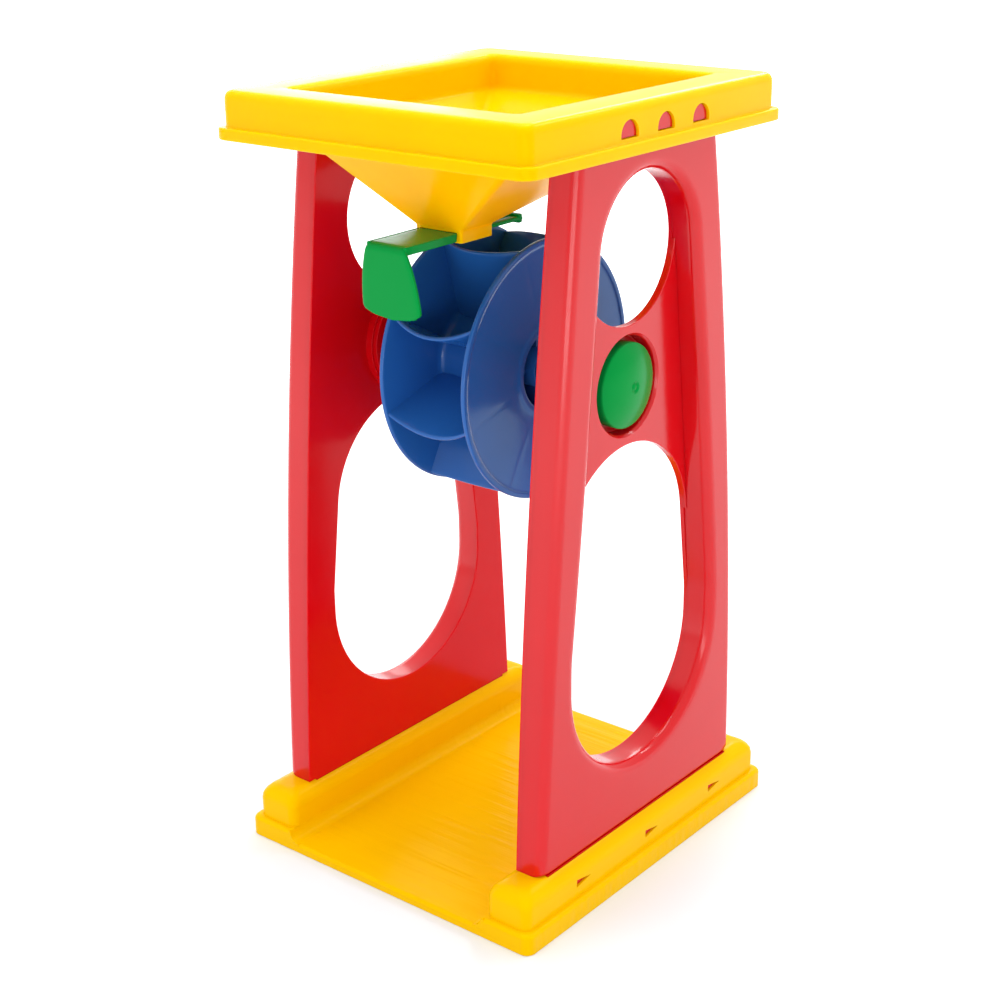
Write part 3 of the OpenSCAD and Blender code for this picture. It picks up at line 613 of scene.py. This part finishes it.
def bulge(z):
    """4 u (1 - u), never below zero, where u rises from 0 at the rail to 1 at the skirt."""
    u = (z - RAIL_H) / (SKIRT_Z - RAIL_H)
    return np.maximum(0, 4 * u * (1 - u))


def panel_half(z):
    """Half the panel's width: a straight taper plus a slight bow."""
    return FOOT_HALF - TAPER * (z - RAIL_H) / (SKIRT_Z - RAIL_H) + BOW * bulge(z)


def panel_face(y, z):
    """The face's X: swell, less R - sqrt(R^2 - (R - d)^2) where side edge or foot is d < R away."""
    x = PANEL_OUT + SWELL * bulge(z)
    for radius, away in ((ROLL, panel_half(z) - np.abs(y)), (FOOT_ROLL, z - RAIL_H)):
        x = x - radius + np.sqrt(radius**2 - (radius - np.clip(away, 0, radius)) ** 2)
    return x


def arc(y, z, r, a0, a1, n):
    a = np.radians(np.linspace(a0, a1, n))
    return np.stack([y + r * np.cos(a), z + r * np.sin(a)], -1)


def opening_half(grow):
    """Right half of the opening, bottom to top: a large arc, a straight rise, a small arc."""
    low, high = LOWER_R + grow, UPPER_R + grow
    rise = np.stack([np.full(7, low), np.linspace(LOWER_Z, LOWER_TOP, 7)], -1)
    side = [arc(0, LOWER_Z, low, -90, -50, 20), arc(0, LOWER_Z, low, -50, 0, 24)[1:], rise[1:],
            arc(0, LOWER_TOP, low, 0, LEAN, 4)[1:]]
    a, b = side[-1][-1], arc(0, UPPER_Z, high, LEAN, LEAN, 1)[0]
    side += [(a + (b - a) * np.linspace(0, 1, 30)[:, None])[1:],
             arc(0, UPPER_Z, high, LEAN, 60, 22)[1:], arc(0, UPPER_Z, high, 60, 90, 14)[1:]]
    return np.concatenate(side)


def outline_half():
    """Right half of the panel's outline, with as many points as the opening's half."""
    spans = ((118, 135, 7), (135, 143, 4), (143, 334, 30), (334, PANEL_TOP, 22))
    up = np.concatenate([np.linspace(RAIL_H, 118, 24)] + [np.linspace(*span)[1:] for span in spans])
    foot = np.stack([np.linspace(0, FOOT_HALF, 20)[:-1], np.full(19, RAIL_H)], -1)
    top = np.stack([np.linspace(panel_half(PANEL_TOP), 0, 14)[1:], np.full(13, PANEL_TOP)], -1)
    return np.concatenate([foot, np.stack([panel_half(up), up], -1), top])


def both_halves(half):
    return np.concatenate([half, half[-2:0:-1] * FLIP_Y])


def panel_grid():
    """Rows of points: the opening's wall, its rounded lip, the face and the rolled outer edge."""
    outer = both_halves(outline_half())
    height = PANEL_TOP - RAIL_H
    z = RAIL_H + ROLL + (height - 2 * ROLL) * ((outer[:, 1] - RAIL_H) / height)
    inner = np.stack([outer[:, 0] * (panel_half(z) - ROLL) / panel_half(outer[:, 1]), z], -1)
    hole = both_halves(opening_half(0))
    wide = both_halves(opening_half(LIP))
    rows = [np.column_stack([np.full(len(hole), SHELL_IN), hole])]
    for a in np.radians(np.linspace(0, 90, 8)):
        p = both_halves(opening_half(LIP * (1 - math.cos(a))))
        rows.append(np.column_stack([panel_face(*p.T) - LIP * (1 - math.sin(a)), p]))
    face = [wide + (inner - wide) * t for t in np.linspace(0, 1, 14)[1:]]
    roll = [inner + (outer - inner) * math.cos(a) for a in np.radians(np.linspace(90, 0, 14)[1:])]
    rows += [np.column_stack([panel_face(*p.T), p]) for p in face + roll]
    rows.append(np.column_stack([np.full(len(outer), SHELL_IN), outer]))
    return np.stack(rows)


def snap_grids():
    """The tongue in the rail, its barbs, and the half-moon nubs that show in the skirt."""
    tongue = [(SHELL_IN, -TONGUE_HALF), (PANEL_OUT, -TONGUE_HALF), (PANEL_OUT, TONGUE_HALF),
              (SHELL_IN, TONGUE_HALF)]
    grids = [prism_grid(tongue, TONGUE_Z, RAIL_H, "z")]
    for y in BARB_Y:
        wedge = [(y - 5.55, 16.7), (y + 4.75, 18.5), (y - 5.55, 20.3)]
        grids.append(prism_grid(wedge, BARB_IN, BARB_OUT, "x"))
    for y in WINDOW_Y:
        nub = half_moon(y, NUB_Z, NUB_RISE, NUB_R)
        grids.append(prism_grid(nub, NUB_IN, SKIRT_X - NUB_BACK, "x"))
    return grids


for side in ("left", "right"):
    grids = [(panel_grid(), True, True)] + [(g, False, True) for g in snap_grids()]
    if side == "left":
        grids = [(mirrored(g), a, b) for g, a, b in grids]
    mesh = mesh_from_grids(side + "_panel_moulding", grids)
    place(mesh, red, "red_plastic", "frame", side + "_panel_shell")

# %% [markdown]
# ## The panel covers
# A cover closes each panel on the wheel's side. It is a flat plate with a round hole above and
# a long hole below; between them a thicker bridge carries the boss that the axle pin sits in.
# The parts are joined and cut by booleans. A bevel afterwards would catch on the tiny edges that
# booleans leave, so the cutters themselves flare at their ends and round the edges they make.

# %% Panel covers
COVER_IN, BRIDGE_OUT, RECESS_X, RECESS_R = 71.4, 75.5, 67.3, 24.6
ARCH_R, ARCH_Z = 54.0, 175.8
BOSS_FACE, BOSS_R, BOSS_STEP = 64.9, 27.0, 1.2
TUBE_END, TUBE_BORE = 66.0, 7.05
EDGE_R, EDGE_STEPS = 0.5, 5


def upper_hole(grow):
    return arc(0, UPPER_Z, UPPER_R + grow, 0, 360, 145)[:-1]


def lower_hole(grow):
    """Half: a large arc, a rise and the arch, met at angle acos(r / d) - atan(drop / side)."""
    side, arch, drop = LOWER_R + grow, ARCH_R + grow, ARCH_Z - LOWER_TOP
    touch = math.degrees(math.acos(arch / math.hypot(side, drop)) - math.atan2(drop, side))
    half = [arc(0, LOWER_Z, side, -90, 0, 60), [(side, LOWER_TOP)],
            arc(0, ARCH_Z, arch, touch, 90, 56)]
    return both_halves(np.concatenate(half))


def bridge_outline():
    half = opening_half(-0.2)
    half = half[(half[:, 1] > ARCH_Z) & (half[:, 1] < UPPER_Z)]
    return np.concatenate([half, half[::-1] * FLIP_Y])


def edge_curve():
    """A quarter round: how far in from the end, r (1 - cos a), and how far out, r (1 - sin a)."""
    a = np.radians(np.linspace(0, 90, EDGE_STEPS))
    return EDGE_R * (1 - np.cos(a)), EDGE_R * (1 - np.sin(a))


def stacked(name, x, rings):
    """A closed mesh from rings of (y, z) at their distances along X."""
    grid = np.concatenate([x[:, None, None] + 0 * rings[..., :1], rings], -1)
    return mesh_from_grids(name, [(grid, False, True)])


def hole_cutter(outline):
    """A plug whose two ends flare with the edge curve, so that it cuts a hole with round edges."""
    depth, flare = edge_curve()
    x = np.concatenate([[COVER_IN - 1] * 2, COVER_IN + depth, BRIDGE_OUT - depth[::-1],
                        [BRIDGE_OUT + 1] * 2])
    grow = np.concatenate([[EDGE_R, EDGE_R], flare, flare[::-1], [EDGE_R, EDGE_R]])
    rings = np.stack([outline(g) for g in grow])
    rings[0] = rings[-1] = rings[1].mean(0)
    return stacked("plug", x, rings)


def cover_plate():
    """The tongue and the panel's outline, drawn in by one radius on the wheel's side."""
    z = np.linspace(RAIL_H, PANEL_TOP, 30)
    half = [[(0.0, TONGUE_Z), (TONGUE_HALF, TONGUE_Z), (TONGUE_HALF, RAIL_H)],
            np.stack([panel_half(z), z], -1), [(0.0, PANEL_TOP)]]
    outline = both_halves(np.concatenate(half))
    depth, narrow = edge_curve()
    middle, reach = np.array([0.0, 200.0]), np.array([FOOT_HALF, 197.0])
    shrink = np.concatenate([[1], narrow, [0, 1]])[:, None, None]
    rings = middle + (outline - middle)[None] * (1 - shrink / reach)
    rings[0] = rings[-1] = middle
    return stacked("plate", np.concatenate([[COVER_IN], COVER_IN + depth, [SHELL_IN] * 2]), rings)


def turned(profile, radii, turns=128):
    """A closed turned solid; a profile that starts and ends on the axis has its poles closed."""
    return mesh_from_grids("turned", [(revolve(soften(profile, radii), turns), False, True)])


def cover_mesh():
    """The plate with bridge, boss and pin tube joined on, less the holes, recess and bore."""
    foot, back = BOSS_R + BOSS_STEP, SHELL_IN - 0.3
    boss = [(0, BOSS_FACE), (BOSS_R, BOSS_FACE), (BOSS_R, RECESS_X), (foot, RECESS_X), (foot, back),
            (0, back)]
    near, far, rim = WHEEL_HALF_W + 1, WHEEL_HALF_W - 1, BRIDGE_OUT - 1.4
    tube = [(0, near), (SLEEVE_OUT, near), (SLEEVE_OUT, TUBE_END), (0, TUBE_END)]
    recess = [(0, RECESS_X), (RECESS_R, RECESS_X), (RECESS_R, rim), (RECESS_R + 2.8, rim + 2.8),
              (0, rim + 2.8)]
    bore = [(0, far), (TUBE_BORE, far), (TUBE_BORE, 70), (0, 70)]
    joined = [prism(bridge_outline(), COVER_IN + 0.6, BRIDGE_OUT, "x"),
              turned(boss, [0, 0.6, 0, 0.5, 0, 0]), turned(tube, [0, 0.5, 0, 0], 64)]
    holes = [hole_cutter(upper_hole), hole_cutter(lower_hole),
             turned(recess, [0, 0.8, 0.8, 0, 0]), turned(bore, [0] * 4, 64)]
    return cut(cover_plate(), holes, joined, SOLID_CREASE)


def join_flats(mesh, merge, flat, outwards=False):
    """Merges points closer than merge (metres) and joins faces within flat degrees of one plane."""
    bm = bmesh.new()
    bm.from_mesh(mesh)
    bmesh.ops.remove_doubles(bm, verts=bm.verts, dist=merge)
    bmesh.ops.dissolve_limit(bm, angle_limit=math.radians(flat), verts=bm.verts, edges=bm.edges)
    if outwards:
        bmesh.ops.recalc_face_normals(bm, faces=bm.faces)
    bm.to_mesh(mesh)
    bm.free()
    shade(mesh, SOLID_CREASE)


def keep_flats_flat(piece):
    piece.modifiers.new("flat_faces", "WEIGHTED_NORMAL").keep_sharp = True


for side in ("right", "left"):
    mesh = cover_mesh()
    mesh.name = side + "_cover_moulding"
    if side == "left":
        mesh.transform(Matrix.Diagonal((-1, 1, 1, 1)))
    join_flats(mesh, 4e-6, 0.05, outwards=True)
    keep_flats_flat(place(mesh, red, "red_plastic", "frame", side + "_panel_cover"))

# %% [markdown]
# ## The base
# The base has the right shape in the solid model already. What it lacks is the small radius
# that every moulded edge has. A copy of the solid is merged, a fine bevel rounds its edges,
# and the normals are weighted by area so that the flat faces stay flat.

# %% Base
BASE_EDGE_R = 0.6
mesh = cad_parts["base"].data.copy()
mesh.name = "base_rounded"
join_flats(mesh, 1e-6, 0.4)
base = place(mesh, amber, "yellow_plastic", "frame", "base")
bevel = base.modifiers.new("edges", "BEVEL")
bevel.width, bevel.segments, bevel.limit_method = BASE_EDGE_R * MM, 3, "ANGLE"
bevel.angle_limit = math.radians(SOLID_CREASE)
bevel.use_clamp_overlap = True
keep_flats_flat(base)

# %% [markdown]
# ## The studio
# The toy stands on a white sweep under soft boxes. The floor is a white sheet that also glows
# a little for the camera and for mirror reflections, and more with its distance from the toy,
# so it photographs as pure white but still takes the shadow.

# %% Floor and world
FLOOR_HALF, FLOOR_STEPS, FLOOR_DROP = 12.0, 25, 0.0002
PAPER = (0.76, 0.80, 0.82, 1)
# The glow rises from the first level to the second between two distances in metres
GLOW_REACH, GLOW_LEVELS = (0.2, 1.4), (0.07, 0.9)


def sweep_material():
    mat = bpy.data.materials.new("white_sweep")
    mat.use_nodes = True
    tree = mat.node_tree
    nodes, links = tree.nodes, tree.links
    nodes.clear()
    out = nodes.new("ShaderNodeOutputMaterial")
    paper = nodes.new("ShaderNodeBsdfDiffuse")
    paper.inputs["Color"].default_value = PAPER
    glow = nodes.new("ShaderNodeEmission")
    path = nodes.new("ShaderNodeLightPath")
    away = nodes.new("ShaderNodeVectorMath")
    away.operation = "LENGTH"
    links.new(nodes.new("ShaderNodeTexCoord").outputs["Object"], away.inputs[0])
    level = ramp_node(tree, away.outputs["Value"], *GLOW_REACH, *GLOW_LEVELS)
    seen = math_node(tree, "MAXIMUM", path.outputs["Is Camera Ray"], path.outputs["Is Glossy Ray"])
    links.new(math_node(tree, "MULTIPLY", seen, level), glow.inputs["Strength"])
    add = nodes.new("ShaderNodeAddShader")
    links.new(paper.outputs[0], add.inputs[0])
    links.new(glow.outputs[0], add.inputs[1])
    links.new(add.outputs[0], out.inputs["Surface"])
    return mat


def white_floor():
    t = np.linspace(-FLOOR_HALF, FLOOR_HALF, FLOOR_STEPS)
    x, y = np.meshgrid(t, t, indexing="ij")
    mesh = bpy.data.meshes.new("floor")
    points = np.stack([x, y, 0 * x - FLOOR_DROP], -1).reshape(-1, 3)
    faces = grid_faces(FLOOR_STEPS, FLOOR_STEPS, False, False)
    mesh.from_pydata(points.tolist(), [], faces.tolist())
    mesh.materials.append(sweep_material())
    floor = bpy.data.objects.new("floor", mesh)
    bpy.context.scene.collection.objects.link(floor)


white_floor()
world = bpy.data.worlds.new("studio")
bpy.context.scene.world = world
world.use_nodes = True
sky = world.node_tree.nodes["Background"]
sky.inputs["Color"].default_value = (1, 1, 1, 1)
sky.inputs["Strength"].default_value = 1.0


# %% Soft boxes
def soft_box(name, spot, aim, width, height, watts):
    light = bpy.data.lights.new(name, "AREA")
    light.shape, light.size, light.size_y = "RECTANGLE", width, height
    light.energy = watts
    lamp = bpy.data.objects.new(name, light)
    bpy.context.scene.collection.objects.link(lamp)
    lamp.location = spot
    lamp.rotation_mode = "QUATERNION"
    lamp.rotation_quaternion = (Vector(aim) - Vector(spot)).to_track_quat("-Z", "Y")


soft_box("overhead", (-0.1, 0.1, 1.7), (0, 0, 0.2), 1.2, 0.9, 15)
soft_box("low_front", (1.1, -1.3, 0.25), (0, 0, 0.28), 1.3, 0.4, 5.5)
soft_box("left_front", (-0.9, -1.3, 0.9), (0, 0, 0.2), 0.9, 1.2, 1)
soft_box("back_left", (-1.39, 1.08, 0.64), (0, 0, 0.36), 0.7, 0.5, 2)
soft_box("back_strip", (0.5, 0.95, 1.2), (0.08, 0, 0.15), 0.4, 0.1, 2)
soft_box("back_fill", (-0.35, 1.25, 1.05), (0, 0, 0), 0.6, 0.4, 6)

# %% [markdown]
# ## The camera
# The photograph was taken from the front right corner, a little above the hopper. The camera's
# place, turn and lens were fitted to the outlines of the base, the panels and the hopper.

# %% Camera
AZIMUTH, LIFT, ROLL_TURN = (math.radians(v) for v in (39.2133, 20.7297, -0.77248))
AIM, DISTANCE = np.array([-0.00794, 0.00276, 0.181]), 0.960
SENSOR, LENS = 36.0, 65.41


def photo_camera():
    """Back, right and up follow from azimuth and lift; the roll turns right and up about back."""
    level = math.cos(LIFT)
    back = np.array([math.sin(AZIMUTH) * level, -math.cos(AZIMUTH) * level, math.sin(LIFT)])
    level_right = np.array([math.cos(AZIMUTH), math.sin(AZIMUTH), 0.0])
    level_up = np.cross(back, level_right)
    right = level_right * math.cos(ROLL_TURN) + level_up * math.sin(ROLL_TURN)
    up = -level_right * math.sin(ROLL_TURN) + level_up * math.cos(ROLL_TURN)
    data = bpy.data.cameras.new("camera")
    data.sensor_width, data.lens = SENSOR, LENS
    data.clip_start, data.clip_end = 0.01, 100
    cam = bpy.data.objects.new("camera", data)
    turn = np.eye(4)
    turn[:3] = np.column_stack([right, up, back, AIM + back * DISTANCE])
    cam.matrix_world = Matrix(turn.tolist())
    bpy.context.scene.collection.objects.link(cam)
    bpy.context.scene.camera = cam
    return cam


cam = photo_camera()
bpy.context.scene.view_settings.view_transform = "Standard"
print("camera at", [round(v, 3) for v in cam.location])
